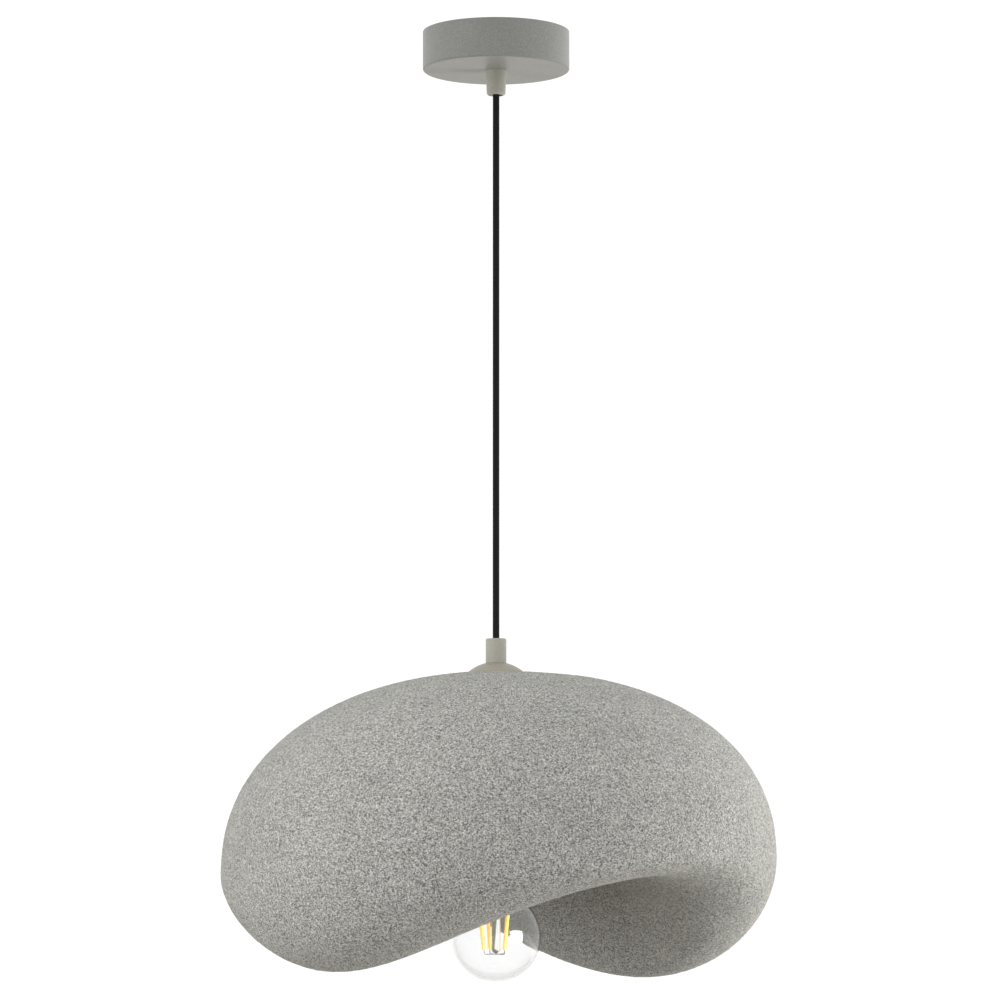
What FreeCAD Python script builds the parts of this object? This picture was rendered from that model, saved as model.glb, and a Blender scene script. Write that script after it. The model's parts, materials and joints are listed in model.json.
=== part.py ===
"""Pendant ceiling light: round canopy, cord, clamp glands and a broad arched shade over a filament bulb.

Units are millimetres. The origin is the centre of the canopy's top face, which lies on the
ceiling, and +Z points up, so the light hangs towards -Z. +Y is the back of the light. Azimuths
are counted anticlockwise from +X, as seen from above. Each function makes one sub-part.
"""

import FreeCAD
import Part

import math
import os

from FreeCAD import Vector

# ---------------------------------------------------------------- driving dimensions

CANOPY_RADIUS = 50.0
CANOPY_HEIGHT = 26.5
CANOPY_WALL = 1.2
CANOPY_EDGE_RADIUS = 1.4
SIDE_SCREW_DROP = 9.0

BRACKET_THICKNESS = 2.0
BRACKET_WIDTH = 18.0
BRACKET_REACH = 46.0
BRACKET_TAB_DROP = 14.0
CEILING_SLOT_SPACING = 60.0
CEILING_SLOT_WIDTH = 4.5
CEILING_SLOT_LENGTH = 12.0
CABLE_HOLE_RADIUS = 6.0
EARTH_SCREW_X = -16.0

BLOCK_CENTRE_Y = 24.0
BLOCK_SIZE = Vector(20.0, 18.0, 13.0)
BLOCK_WAY_X = 5.0
BLOCK_WAY_DROP = 9.0
BLOCK_SCREW_INSET = 4.5
SLEEVE_RADIUS = 2.6
SLEEVE_BORE_RADIUS = 1.4
SLEEVE_INSET = 1.0
SLEEVE_SCREW_RADIUS = 1.25
SLEEVE_SCREW_LENGTH = 4.4
EARTH_RING_RADIUS = 4.0
EARTH_RING_THICKNESS = 0.8
EARTH_BARREL_RADIUS = 1.7
EARTH_BARREL_REACH = 10.0

M3_RADIUS = 1.5
M4_RADIUS = 2.0
M10_RADIUS = 5.0
M10_NUT_ACROSS_FLATS = 14.0
M10_CLEARANCE = 0.1

CORD_RADIUS = 2.3
CORE_RADIUS = 0.95
CORE_PLACES = {
    "live": Vector(-1.05, 0.6, 0),
    "neutral": Vector(1.05, 0.6, 0),
    "earth": Vector(0, -1.2, 0),
}
PENDANT_DROP = 370.5
CLAMP_BITE = 0.3

GRIP_LENGTH = 17.0
GRIP_TOP_RADIUS = 7.05
GRIP_END_RADIUS = 6.45
GRIP_LIP_RADIUS = 1.6
GRIP_STUD_LENGTH = 10.0
GRIP_WASHER_RADIUS = 9.0
GRIP_WASHER_THICKNESS = 0.8
GRIP_NUT_HEIGHT = 3.5
SWING_PIVOT_INSET = 2.5
BEAD_RADIUS = 1.9

GLAND_RADIUS = 7.0
GLAND_LENGTH = 16.5
GLAND_EDGE_RADIUS = 1.0
GLAND_SOCKET_DEPTH = 7.5
GLAND_SCREW_DROP = 4.5

CAP_SPHERE_RADIUS = 29.0
CAP_WALL = 1.2
CAP_HEIGHT = 9.5

# In plan the shade is an ellipse whose long diameter lies at LOBE_AZIMUTH. A lobe hangs down at
# each end of that diameter. The underside between them is an arch, open at a mouth on either side.
# A _TILT value is what the lobe at LOBE_AZIMUTH gains, and the lobe opposite loses.
LOBE_AZIMUTH = 44.0
LOBE_RADIUS = 193.0
MOUTH_RADIUS = 177.0
LOBE_SHIFT_X = 3.0
LOBE_SHIFT_Y = -5.0
CROWN_SHIFT_X = 7.0
SHADE_TOP_DROP = 436.0
WIDEST_DROP = 565.0
WIDEST_TILT = 6.0
WIDEST_SWELL = -5.0
LOBE_FOOT_DROP = 638.4
LOBE_FOOT_TILT = 5.5
LIP_HEIGHT = 11.5
LOBE_NARROWING = 0.96
LOBE_NARROWING_TILT = -0.36
LOBE_FOOT_RATIO = 0.72
LOBE_FOOT_RATIO_TILT = -0.04
LIP_RATIO = 0.83
ARCH_CROWN_DROP = 560.0
UPPER_FULLNESS = 2.2
LOWER_FULLNESS = 2.0
ARCH_FULLNESS = 1.6
SEAT_RADIUS = 23.5
SEAT_DROP = 440.0
WELL_RADIUS = 30.0
WELL_TOP_DROP = 497.0
WELL_EDGE_RADIUS = 4.0
CENTRED_RADIUS = WELL_RADIUS + 8.0
SHADE_COLUMNS = 60
UPPER_STEPS = 14
LOWER_STEPS = 10
ARCH_STEPS = 10
BACKING_PLATE_RADIUS = 25.0
BACKING_PLATE_THICKNESS = 1.5
SHADE_NUT_HEIGHT = 4.5

HOLDER_RADIUS = 20.0
HOLDER_WALL = 1.5
HOLDER_TOP_DROP = 509.0
HOLDER_BOTTOM_DROP = 566.0
HOLDER_COLLAR_RADIUS = 7.5
HOLDER_COLLAR_LENGTH = 10.0
HOLDER_SHOULDER_RADIUS = 5.0
HOLDER_SCREW_DROP = 3.5
INSERT_RADIUS = 17.0
SKIRT_RADIUS = 19.4
SKIRT_BORE_RADIUS = 16.0
TERMINAL_PLATE_THICKNESS = 0.8
CONTACT_RIVET_X = -5.5
SHELL_RIVET_X = 11.5
RIVET_RADIUS = 0.9
HOLDER_SCREW_RADIUS = 1.6

BULB_BOTTOM_DROP = 643.5
BULB_LENGTH = 106.0
BULB_RADIUS = 30.0
BULB_NECK_RADIUS = 13.5
GLASS_WALL = 0.8
GLASS_SEAT_RADIUS = 12.5
THREAD_PITCH = 3.63
THREAD_DEPTH = 0.4
BULB_THREAD_RADIUS = 12.3
HOLDER_THREAD_RADIUS = 13.85
THREAD_SHEET = 0.4
BULB_THREAD_TURNS = 4
HOLDER_THREAD_TURNS = 6
STEM_RADIUS = 3.0
FILAMENT_AZIMUTHS = (49.0, 118.0, 205.0, 311.0)
FILAMENT_LENGTH = 34.0
FILAMENT_RADIUS = 1.3
FILAMENT_FOOT_RADIUS = 8.8
FILAMENT_LEAN = 0.13
FILAMENT_WIRE_RADIUS = 0.25
FILAMENT_HUB_RADIUS = 1.0

# ---------------------------------------------------------------- derived heights

UP = Vector(0, 0, 1)
CANOPY_FLOOR_Z = -CANOPY_HEIGHT
GRIP_END_Z = CANOPY_FLOOR_Z - GRIP_LENGTH
PIVOT_Z = GRIP_END_Z + SWING_PIVOT_INSET
GLAND_TOP_Z = GRIP_END_Z - PENDANT_DROP
GLAND_END_Z = GLAND_TOP_Z - GLAND_LENGTH
STUD_TOP_Z = CANOPY_FLOOR_Z + GRIP_STUD_LENGTH
UPPER_CLAMP_Z = CANOPY_FLOOR_Z - 0.5 * GRIP_LENGTH
LOWER_CLAMP_Z = GLAND_TOP_Z - GLAND_SCREW_DROP
UPPER_SHEATH_END_Z = -14.0
NIPPLE_TOP_Z = GLAND_END_Z + GLAND_SOCKET_DEPTH
NIPPLE_END_Z = -HOLDER_TOP_DROP - 8.0
LOWER_SHEATH_END_Z = NIPPLE_END_Z - 0.5
BULB_END_Z = -BULB_BOTTOM_DROP
BULB_CENTRE_Z = BULB_END_Z + BULB_RADIUS
BULB_TIP_Z = BULB_END_Z + BULB_LENGTH
BULB_LIP_Z = BULB_TIP_Z - 4.0
NECK_Z = -HOLDER_BOTTOM_DROP
HOLDER_SHOULDER_Z = -HOLDER_TOP_DROP - HOLDER_COLLAR_LENGTH
HOLDER_JOINT_Z = -HOLDER_TOP_DROP - 22.0
HOLDER_SCREW_Z = -HOLDER_TOP_DROP - HOLDER_SCREW_DROP
INSERT_TOP_Z = HOLDER_JOINT_Z + 4.0
INSERT_END_Z = HOLDER_JOINT_Z - 2.0
STEM_END_Z = BULB_CENTRE_Z - 11.3
STEM_FLARE_Z = NECK_Z + 2.0

# ---------------------------------------------------------------- general shapes


def turned(start, *steps):
    """Solid of revolution about Z from a closed outline of (radius, height) points.

    A step is a point for a straight run, or a (middle point, end point) pair for an arc.
    """
    edges = []
    here = Vector(start[0], 0, start[1])
    for step in steps + (start,):
        if isinstance(step[0], tuple):
            middle = Vector(step[0][0], 0, step[0][1])
            there = Vector(step[1][0], 0, step[1][1])
            edges.append(Part.Arc(here, middle, there).toShape())
        else:
            there = Vector(step[0], 0, step[1])
            if there.distanceToPoint(here) > 1e-6:
                edges.append(Part.makeLine(here, there))
        here = there
    face = Part.Face(Part.Wire(edges))
    return face.revolve(Vector(0, 0, 0), UP, 360)


def arc_step(centre, radius, start_deg, end_deg):
    """The (middle, end) pair of an arc for turned(), by its centre and its angles from +radius."""
    ends = []
    for angle in (0.5 * (start_deg + end_deg), end_deg):
        turn = math.radians(angle)
        ends.append((centre[0] + radius * math.cos(turn), centre[1] + radius * math.sin(turn)))
    return tuple(ends)


def rod(start, end, radius):
    """Round rod between two points."""
    along = end - start
    return Part.makeCylinder(radius, along.Length, start, along)


def tube(outer, inner, low_z, high_z):
    """Upright tube about the Z axis."""
    return turned((inner, low_z), (outer, low_z), (outer, high_z), (inner, high_z))


def box(low, high):
    """Box between two opposite corners."""
    size = high - low
    return Part.makeBox(size.x, size.y, size.z, low)


def hex_prism(across_flats, low_z, height):
    """Upright hexagonal prism about the Z axis."""
    corner = across_flats / math.sqrt(3)
    points = [Vector(corner, 0, low_z)]
    for i in range(1, 7):
        turn = math.radians(60 * i)
        points.append(Vector(corner * math.cos(turn), corner * math.sin(turn), low_z))
    return Part.Face(Part.makePolygon(points)).extrude(Vector(0, 0, height))


def grub_screw(tip, direction, radius, length, key):
    """Headless screw from its tip outwards, with a chamfered tip and a hexagonal key socket."""
    chamfer = 0.25 * radius
    body = turned(
        (0, 0),
        (radius - chamfer, 0),
        (radius, chamfer),
        (radius, length),
        (0, length),
    )
    body = body.cut(hex_prism(key, 0.5 * length, length))
    turn = FreeCAD.Rotation(UP, direction)
    return body.transformGeometry(FreeCAD.Placement(tip, turn).toMatrix())


def lead(points, radius):
    """Insulated core or bent wire: straight runs joined by the largest tangent arcs."""
    edges = []
    here = points[0]
    for before, corner, after in zip(points, points[1:], points[2:]):
        back = before - corner
        ahead = after - corner
        half = 0.5 * (math.pi - back.getAngle(ahead))
        trim = 0.45 * min(back.Length, ahead.Length)
        arc_radius = trim / math.tan(half)
        back.normalize()
        ahead.normalize()
        bisector = back + ahead
        bisector.normalize()
        entry = corner + back * trim
        leave = corner + ahead * trim
        middle = corner + bisector * (arc_radius / math.cos(half) - arc_radius)
        edges.append(Part.makeLine(here, entry))
        edges.append(Part.Arc(entry, middle, leave).toShape())
        here = leave
    edges.append(Part.makeLine(here, points[-1]))
    path = Part.Wire(edges)
    start_circle = Part.makeCircle(radius, points[0], points[1] - points[0])
    return path.makePipeShell([Part.Wire(start_circle)], True, False)


def thread_sleeve(middle_radius, wall, low_z, turns):
    """Rolled sheet-metal thread drawn as rounded rings, one per turn."""
    steps = []
    for side, offset in ((1, wall), (-1, 0.0)):
        for i in range(2 * turns):
            step = i if side == 1 else 2 * turns - 1 - i
            from_z = low_z + step * THREAD_PITCH / 2
            swell = THREAD_DEPTH if step % 2 == 0 else -THREAD_DEPTH
            middle = (middle_radius + offset + swell, from_z + THREAD_PITCH / 4)
            end_z = from_z + THREAD_PITCH / 2 if side == 1 else from_z
            steps.append((middle, (middle_radius + offset, end_z)))
        if side == 1:
            steps.append((middle_radius, low_z + turns * THREAD_PITCH))
    return turned((middle_radius + wall, low_z), *steps)


# ---------------------------------------------------------------- ceiling fittings


def ceiling_bracket():
    """Pressed strip with two turned-down tabs, a tongue for the terminal block and two slots."""
    half_width = BRACKET_WIDTH / 2
    strip = box(
        Vector(-BRACKET_REACH, -half_width, -BRACKET_THICKNESS),
        Vector(BRACKET_REACH, half_width, 0),
    )
    tongue_end = BLOCK_CENTRE_Y + BLOCK_SIZE.y / 2 + 3
    tongue = box(Vector(-12, 0, -BRACKET_THICKNESS), Vector(12, tongue_end, 0))
    plate = strip.fuse(tongue)
    for side in (-1, 1):
        outer = side * BRACKET_REACH
        inner = side * (BRACKET_REACH - BRACKET_THICKNESS)
        low = Vector(min(outer, inner), -half_width, -BRACKET_TAB_DROP)
        high = Vector(max(outer, inner), half_width, 0)
        plate = plate.fuse(box(low, high))
        start = Vector(side * (BRACKET_REACH - 16), 0, -SIDE_SCREW_DROP)
        end = Vector(side * (BRACKET_REACH + 14), 0, -SIDE_SCREW_DROP)
        plate = plate.cut(rod(start, end, M4_RADIUS))
        plate = plate.cut(ceiling_slot(side * CEILING_SLOT_SPACING / 2))
    plate = plate.cut(Part.makeCylinder(CABLE_HOLE_RADIUS, 10, Vector(0, 0, -5)))
    plate = plate.cut(Part.makeCylinder(M4_RADIUS, 10, Vector(EARTH_SCREW_X, 0, -5)))
    plate = plate.cut(Part.makeCylinder(M3_RADIUS, 10, Vector(0, BLOCK_CENTRE_Y, -5)))
    return plate.removeSplitter()


def ceiling_slot(centre_x):
    """Cutter for one slotted ceiling-screw hole, long along X."""
    radius = CEILING_SLOT_WIDTH / 2
    reach = CEILING_SLOT_LENGTH / 2 - radius
    slot = box(Vector(centre_x - reach, -radius, -5), Vector(centre_x + reach, radius, 5))
    for side in (-1, 1):
        slot = slot.fuse(Part.makeCylinder(radius, 10, Vector(centre_x + side * reach, 0, -5)))
    return slot


def canopy_cup():
    """Pressed cup, open to the ceiling, with a tight lower edge and a stud hole in its floor."""
    outer = CANOPY_RADIUS
    inner = outer - CANOPY_WALL
    edge = CANOPY_EDGE_RADIUS
    inner_edge = edge - CANOPY_WALL
    floor = CANOPY_FLOOR_Z
    inner_floor = floor + CANOPY_WALL
    hole = M10_RADIUS + M10_CLEARANCE
    cup = turned(
        (hole, floor),
        (outer - edge, floor),
        arc_step((outer - edge, floor + edge), edge, -90, 0),
        (outer, 0),
        (inner, 0),
        (inner, floor + edge),
        arc_step((outer - edge, floor + edge), inner_edge, 0, -90),
        (hole, inner_floor),
    )
    for side in (-1, 1):
        start = Vector(side * (outer - 10), 0, -SIDE_SCREW_DROP)
        end = Vector(side * (outer + 10), 0, -SIDE_SCREW_DROP)
        cup = cup.cut(rod(start, end, M4_RADIUS + 0.05))
    return cup


def canopy_side_screws():
    """Two flush screws that hold the cup on the bracket's tabs."""
    tip = BRACKET_REACH - 4
    length = CANOPY_RADIUS - 0.3 - tip
    screws = []
    for side in (-1, 1):
        start = Vector(side * tip, 0, -SIDE_SCREW_DROP)
        screws.append(grub_screw(start, Vector(side, 0, 0), M4_RADIUS, length, 2.0))
    return Part.makeCompound(screws)


def pan_screw(top, shank_radius, shank_length, head_radius, head_height, slot_width):
    """Downward-facing pan-head screw: the shank rises from the head to the given top point."""
    head_z = -shank_length
    head = turned(
        (0, head_z),
        (shank_radius, head_z),
        (head_radius, head_z),
        (head_radius, head_z - 0.6 * head_height),
        (head_radius - 0.4 * head_height, head_z - head_height),
        (0, head_z - head_height),
    )
    shank = Part.makeCylinder(shank_radius, shank_length, Vector(0, 0, head_z))
    slot_low = Vector(-head_radius, -slot_width / 2, head_z - 2 * head_height)
    slot_high = Vector(head_radius, slot_width / 2, head_z - 0.5 * head_height)
    screw = head.fuse(shank).cut(box(slot_low, slot_high)).removeSplitter()
    screw.translate(top)
    return screw


def earth_screw():
    """M4 screw that clamps the earth ring to the bracket."""
    length = BRACKET_THICKNESS + EARTH_RING_THICKNESS
    return pan_screw(Vector(EARTH_SCREW_X, 0, 0), M4_RADIUS, length, 3.6, 2.4, 0.9)


def earth_ring_terminal():
    """Crimped ring terminal under the earth screw, with its barrel towards the cord."""
    thick = EARTH_RING_THICKNESS
    start = Vector(EARTH_RING_RADIUS + 0.6, 0, -EARTH_BARREL_RADIUS)
    end = Vector(EARTH_BARREL_REACH, 0, -EARTH_BARREL_RADIUS)
    ring = Part.makeCylinder(EARTH_RING_RADIUS, thick, Vector(0, 0, -thick))
    barrel = rod(start, end, EARTH_BARREL_RADIUS)
    bore = rod(start, end + Vector(1, 0, 0), CORE_RADIUS)
    neck = box(Vector(2.8, -1.4, -thick), Vector(5.2, 1.4, 0))
    terminal = ring.fuse(neck).fuse(barrel).cut(bore)
    terminal = terminal.cut(Part.makeCylinder(M4_RADIUS, 4, Vector(0, 0, -2)))
    terminal.translate(Vector(EARTH_SCREW_X, 0, -BRACKET_THICKNESS))
    return terminal.removeSplitter()


def block_ways():
    """The X places of the terminal block's two ways."""
    return (-BLOCK_WAY_X, BLOCK_WAY_X)


def block_screw_places():
    """The X and Y places of the terminal block's four clamping screws."""
    reach = BLOCK_SIZE.y / 2 - BLOCK_SCREW_INSET
    return [(x, BLOCK_CENTRE_Y + side * reach) for x in block_ways() for side in (-1, 1)]


def terminal_block():
    """Two-way insulated block, screwed to the bracket's tongue."""
    half = Vector(BLOCK_SIZE.x / 2, BLOCK_SIZE.y / 2, 0)
    top = -BRACKET_THICKNESS
    low = Vector(-half.x, BLOCK_CENTRE_Y - half.y, top - BLOCK_SIZE.z)
    high = Vector(half.x, BLOCK_CENTRE_Y + half.y, top)
    block = box(low, high)
    for x in block_ways():
        start = Vector(x, low.y - 1, -BLOCK_WAY_DROP)
        end = Vector(x, high.y + 1, -BLOCK_WAY_DROP)
        block = block.cut(rod(start, end, SLEEVE_RADIUS))
    for x, y in block_screw_places():
        block = block.cut(Part.makeCylinder(1.6, BLOCK_SIZE.z - 6, Vector(x, y, low.z - 1)))
    block = block.cut(Part.makeCylinder(M3_RADIUS + 0.1, 20, Vector(0, BLOCK_CENTRE_Y, -18)))
    block = block.cut(Part.makeCylinder(2.8, 4, Vector(0, BLOCK_CENTRE_Y, low.z - 1)))
    return block


def terminal_block_screw():
    """M3 screw up through the block into the bracket's tongue."""
    head_z = -BRACKET_THICKNESS - BLOCK_SIZE.z + 3
    return pan_screw(Vector(0, BLOCK_CENTRE_Y, 0), M3_RADIUS, -head_z, 2.6, 1.8, 0.8)


def terminal_sleeves():
    """The two brass sleeves that join the supply wires to the cord's cores."""
    sleeves = []
    reach = BLOCK_SIZE.y / 2 - SLEEVE_INSET
    for x in block_ways():
        start = Vector(x, BLOCK_CENTRE_Y - reach, -BLOCK_WAY_DROP)
        end = Vector(x, BLOCK_CENTRE_Y + reach, -BLOCK_WAY_DROP)
        sleeve = rod(start, end, SLEEVE_RADIUS).cut(rod(start, end, SLEEVE_BORE_RADIUS))
        for screw_x, screw_y in block_screw_places():
            below = Vector(screw_x, screw_y, -BLOCK_WAY_DROP - 4)
            sleeve = sleeve.cut(Part.makeCylinder(SLEEVE_SCREW_RADIUS, 4, below))
        sleeves.append(sleeve)
    return Part.makeCompound(sleeves)


def terminal_screws():
    """The four clamping screws of the terminal block, turned from below."""
    screws = []
    for x, y in block_screw_places():
        low_z = -BLOCK_WAY_DROP - 1.0 - SLEEVE_SCREW_LENGTH
        screw = Part.makeCylinder(SLEEVE_SCREW_RADIUS, SLEEVE_SCREW_LENGTH, Vector(x, y, low_z))
        slot = box(Vector(x - 2, y - 0.3, low_z - 0.6), Vector(x + 2, y + 0.3, low_z + 0.7))
        screws.append(screw.cut(slot))
    return Part.makeCompound(screws)


# ---------------------------------------------------------------- upper cord grip


def upper_gland_body():
    """Tapered cord grip under the canopy, with a hollow M10 stud and a flared mouth."""
    lip = GRIP_LIP_RADIUS
    flare = CORD_RADIUS + 2.3
    throat = CORD_RADIUS + 0.5
    lip_centre = (GRIP_END_RADIUS - lip, GRIP_END_Z + lip)
    body = turned(
        (CORD_RADIUS, STUD_TOP_Z),
        (CORD_RADIUS, PIVOT_Z + 1.0),
        (throat, PIVOT_Z + 0.4),
        (throat, PIVOT_Z + 0.2),
        (flare, GRIP_END_Z),
        (lip_centre[0], GRIP_END_Z),
        arc_step(lip_centre, lip, -90, 0),
        (GRIP_TOP_RADIUS, CANOPY_FLOOR_Z),
        (M10_RADIUS, CANOPY_FLOOR_Z),
        (M10_RADIUS, STUD_TOP_Z),
    )
    return body.cut(clamp_screw_hole(UPPER_CLAMP_Z))


def clamp_screw_hole(height):
    """Cutter for a radial M3 hole from the cord's bore out through the back."""
    return rod(Vector(0, 1, height), Vector(0, 10, height), M3_RADIUS)


def clamp_screw(height, outer):
    """M3 grub screw at the back that bites lightly on the cord."""
    start = CORD_RADIUS - CLAMP_BITE
    length = outer - 0.5 - start
    return grub_screw(Vector(0, start, height), Vector(0, 1, 0), M3_RADIUS, length, 1.5)


def upper_gland_washer():
    """Plain washer on the canopy's inner floor."""
    low_z = CANOPY_FLOOR_Z + CANOPY_WALL
    return tube(GRIP_WASHER_RADIUS, M10_RADIUS, low_z, low_z + GRIP_WASHER_THICKNESS)


def m10_nut(low_z, height):
    """Thin hexagonal M10 nut with turned corners."""
    nut = hex_prism(M10_NUT_ACROSS_FLATS, low_z, height)
    corner = M10_NUT_ACROSS_FLATS / math.sqrt(3)
    rounding = turned(
        (0, low_z),
        (corner - 0.8, low_z),
        (corner, low_z + 0.5),
        (corner, low_z + height - 0.5),
        (corner - 0.8, low_z + height),
        (0, low_z + height),
    )
    nut = nut.common(rounding)
    return nut.cut(Part.makeCylinder(M10_RADIUS, 2 * height, Vector(0, 0, low_z - height / 2)))


def upper_gland_nut():
    """Nut that holds the upper grip on the canopy."""
    return m10_nut(CANOPY_FLOOR_Z + CANOPY_WALL + GRIP_WASHER_THICKNESS, GRIP_NUT_HEIGHT)


# ---------------------------------------------------------------- cord and cores


def upper_cord_tail():
    """The cord's clamped upper end, from above the swing pivot to where its sheath is stripped."""
    low_z = PIVOT_Z + CORD_RADIUS
    return Part.makeCylinder(CORD_RADIUS, UPPER_SHEATH_END_Z - low_z, Vector(0, 0, low_z))


def cord_head():
    """The bead of cord that flexes in the mouth of the upper grip."""
    return Part.makeSphere(BEAD_RADIUS, Vector(0, 0, PIVOT_Z))


def suspension_cord():
    """The taut cord between the two glands, seated round the bead at its top."""
    top_z = PIVOT_Z - 0.8
    cord = Part.makeCylinder(CORD_RADIUS, top_z - GLAND_TOP_Z, Vector(0, 0, GLAND_TOP_Z))
    return cord.cut(Part.makeSphere(BEAD_RADIUS + 0.1, Vector(0, 0, PIVOT_Z)))


def lower_cord_tail():
    """The cord's clamped lower end, down through the nipple to the lampholder."""
    top_z = GLAND_TOP_Z - 0.05
    return Part.makeCylinder(CORD_RADIUS, top_z - LOWER_SHEATH_END_Z, Vector(0, 0, LOWER_SHEATH_END_Z))


def upper_core(side):
    """A live (-1) or neutral (+1) core from the cord's upper end into the terminal block."""
    foot = CORE_PLACES["live" if side < 0 else "neutral"] + Vector(0, 0, UPPER_SHEATH_END_Z)
    way = Vector(side * BLOCK_WAY_X, 0, -BLOCK_WAY_DROP)
    mouth = way + Vector(0, BLOCK_CENTRE_Y - BLOCK_SIZE.y / 2 - 4, 0)
    inside = way + Vector(0, BLOCK_CENTRE_Y - 2, 0)
    return lead([foot, foot + Vector(0, 0, 5), mouth, inside], CORE_RADIUS)


def wire_earth():
    """Earth core from the cord's upper end into the ring terminal's barrel."""
    foot = CORE_PLACES["earth"] + Vector(0, 0, UPPER_SHEATH_END_Z)
    level = -BRACKET_THICKNESS - EARTH_BARREL_RADIUS
    barrel = Vector(EARTH_SCREW_X + EARTH_BARREL_REACH, 0, level)
    bend = barrel + Vector(2.4, 0, 0)
    return lead([foot, foot + Vector(0, 0, 6), bend, barrel - Vector(4, 0, 0)], CORE_RADIUS)


# ---------------------------------------------------------------- lower gland and shade fixing


def lower_gland_body():
    """Plain cylindrical gland with a small flared mouth and an M10 socket below."""
    edge = GLAND_EDGE_RADIUS
    top = GLAND_TOP_Z
    body = turned(
        (CORD_RADIUS, top - 0.8),
        (CORD_RADIUS + 0.8, top),
        (GLAND_RADIUS - edge, top),
        arc_step((GLAND_RADIUS - edge, top - edge), edge, 90, 0),
        (GLAND_RADIUS, GLAND_END_Z),
        (M10_RADIUS, GLAND_END_Z),
        (M10_RADIUS, NIPPLE_TOP_Z),
        (CORD_RADIUS, NIPPLE_TOP_Z),
    )
    return body.cut(clamp_screw_hole(LOWER_CLAMP_Z))


def dome_cap():
    """Spun domed washer between the gland and the shade's seat."""
    flat = GLAND_RADIUS - 0.1
    outer = CAP_SPHERE_RADIUS
    inner = outer - CAP_WALL
    centre_z = GLAND_END_Z - math.sqrt(outer ** 2 - flat ** 2)
    base_z = GLAND_END_Z - CAP_HEIGHT
    hole = M10_RADIUS + M10_CLEARANCE
    outer_top = math.degrees(math.asin((GLAND_END_Z - centre_z) / outer))
    outer_base = math.degrees(math.asin((base_z - centre_z) / outer))
    inner_base = math.degrees(math.asin((base_z - centre_z) / inner))
    inner_top = math.degrees(math.acos(hole / inner))
    base_radius = inner * math.cos(math.radians(inner_base))
    return turned(
        (hole, GLAND_END_Z),
        (flat, GLAND_END_Z),
        arc_step((0, centre_z), outer, outer_top, outer_base),
        (base_radius, base_z),
        arc_step((0, centre_z), inner, inner_base, inner_top),
    )


def threaded_nipple():
    """Hollow M10 rod that ties gland, cap, shade and lampholder together."""
    return tube(M10_RADIUS, 3.3, NIPPLE_END_Z, NIPPLE_TOP_Z)


def shade_backing_plate():
    """Steel disc that spreads the nut's load on the roof of the shade's well."""
    low_z = -WELL_TOP_DROP - BACKING_PLATE_THICKNESS
    return tube(BACKING_PLATE_RADIUS, M10_RADIUS + M10_CLEARANCE, low_z, -WELL_TOP_DROP)


def shade_nut():
    """Nut under the backing plate."""
    low_z = -WELL_TOP_DROP - BACKING_PLATE_THICKNESS - SHADE_NUT_HEIGHT
    return m10_nut(low_z, SHADE_NUT_HEIGHT)


# ---------------------------------------------------------------- shade


def shade_ring(azimuth):
    """Sizes of the shade's section at one azimuth, in degrees."""
    turn = math.radians(azimuth - LOBE_AZIMUTH)
    along = math.cos(turn)
    widest = LOBE_RADIUS * MOUTH_RADIUS / math.hypot(MOUTH_RADIUS * along, LOBE_RADIUS * math.sin(turn))
    widest_z = -WIDEST_DROP + WIDEST_TILT * along + WIDEST_SWELL * math.cos(2 * turn)
    lobe = abs(along) ** (2 * (LOBE_NARROWING + LOBE_NARROWING_TILT * along))
    lip_z = -WIDEST_DROP - WIDEST_SWELL - LIP_HEIGHT
    foot_z = lip_z + (-LOBE_FOOT_DROP - LOBE_FOOT_TILT * along - lip_z) * lobe
    foot_ratio = LOBE_FOOT_RATIO + LOBE_FOOT_RATIO_TILT * along
    foot = widest * (LIP_RATIO + (foot_ratio - LIP_RATIO) * lobe)
    return widest, widest_z, foot, foot_z


def shade_profile(azimuth):
    """(shift weight, radius, height) down the shade's section: crown, widest point, foot, arch."""
    widest, widest_z, foot, foot_z = shade_ring(azimuth)
    top_z = -SHADE_TOP_DROP
    section = [(1.0, 12.0, top_z), (1.0, 16.0, top_z)]
    power = 2 / UPPER_FULLNESS
    for i in range(2, UPPER_STEPS + 1):
        angle = math.radians(90) * i / UPPER_STEPS
        radius = widest * math.sin(angle) ** power
        height = widest_z + (top_z - widest_z) * math.cos(angle) ** power
        section.append((math.cos(angle) ** 2, radius, height))
    power = 2 / LOWER_FULLNESS
    for i in range(1, LOWER_STEPS + 1):
        angle = math.radians(90) * i / LOWER_STEPS
        radius = foot + (widest - foot) * math.cos(angle) ** power
        height = widest_z - (widest_z - foot_z) * math.sin(angle) ** power
        section.append((0.0, radius, height))
    crown_z = -ARCH_CROWN_DROP
    flat = CENTRED_RADIUS
    for i in range(1, ARCH_STEPS + 1):
        share = 1 - i / ARCH_STEPS
        rise = (0.5 - 0.5 * math.cos(math.pi * share)) ** ARCH_FULLNESS
        section.append((0.0, flat + (foot - flat) * share, crown_z + (foot_z - crown_z) * rise))
    section.append((0.0, flat - 6, crown_z))
    section.append((0.0, flat - 12, crown_z))
    return section


def shade_points():
    """Points of the shade's skin: one column per azimuth, each from the crown to the arch.

    Near the axis the skin is centred on it; further out it is shifted sideways.
    """
    columns = []
    for i in range(SHADE_COLUMNS):
        azimuth = 360 * i / SHADE_COLUMNS
        turn = math.radians(azimuth)
        column = []
        for weight, radius, height in shade_profile(azimuth):
            shift_x = LOBE_SHIFT_X + (CROWN_SHIFT_X - LOBE_SHIFT_X) * weight
            shift_y = LOBE_SHIFT_Y * (1 - weight)
            if radius < CENTRED_RADIUS + 0.5:
                shift_x = 0.0
                shift_y = 0.0
            x = shift_x + radius * math.cos(turn)
            y = shift_y + radius * math.sin(turn)
            column.append(Vector(x, y, height))
        columns.append(column)
    return columns


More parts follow.
